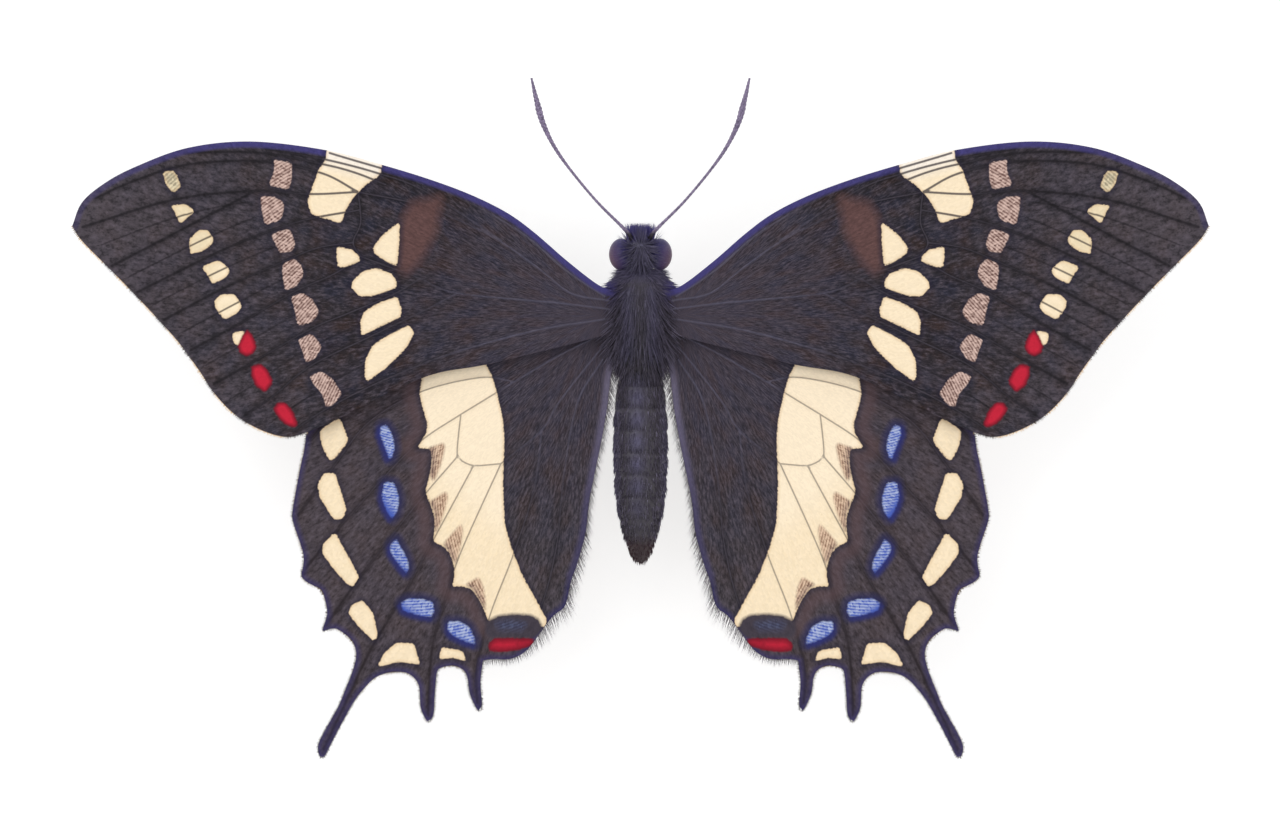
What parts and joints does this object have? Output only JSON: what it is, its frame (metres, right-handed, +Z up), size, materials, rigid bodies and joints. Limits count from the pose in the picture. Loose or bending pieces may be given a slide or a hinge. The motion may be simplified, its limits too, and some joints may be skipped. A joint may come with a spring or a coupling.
{
  "type": "swallowtail butterfly model",
  "caption": "Life-size swallowtail butterfly standing on its feet, wings opened flat, dark with cream bands, blue lunules and red spots, tailed hindwings.",
  "frame": {"origin": "on the floor under the middle of the whole figure, level with the soles of the feet", "axes": "+Z up, +Y the way the head looks, +X to the butterfly's right, along the wing span"},
  "size_m": [0.108, 0.0647, 0.0178],
  "materials": {
    "body": "dark hairy cuticle",
    "wing": "matt scales",
    "eye": "glossy facets"
  },
  "bodies": {
    "root": {"thorax": "body", "head": "body", "abdomen": "body", "eye_left": "eye", "eye_right": "eye", "antenna_left": "body", "antenna_right": "body", "palp_left": "body", "palp_right": "body", "proboscis": "body", "forewing_left": "wing", "forewing_right": "wing", "hindwing_left": "wing", "hindwing_right": "wing", "leg_front_left": "body", "leg_front_right": "body", "leg_middle_left": "body", "leg_middle_right": "body", "leg_hind_left": "body", "leg_hind_right": "body"}
  },
  "joints": []
}
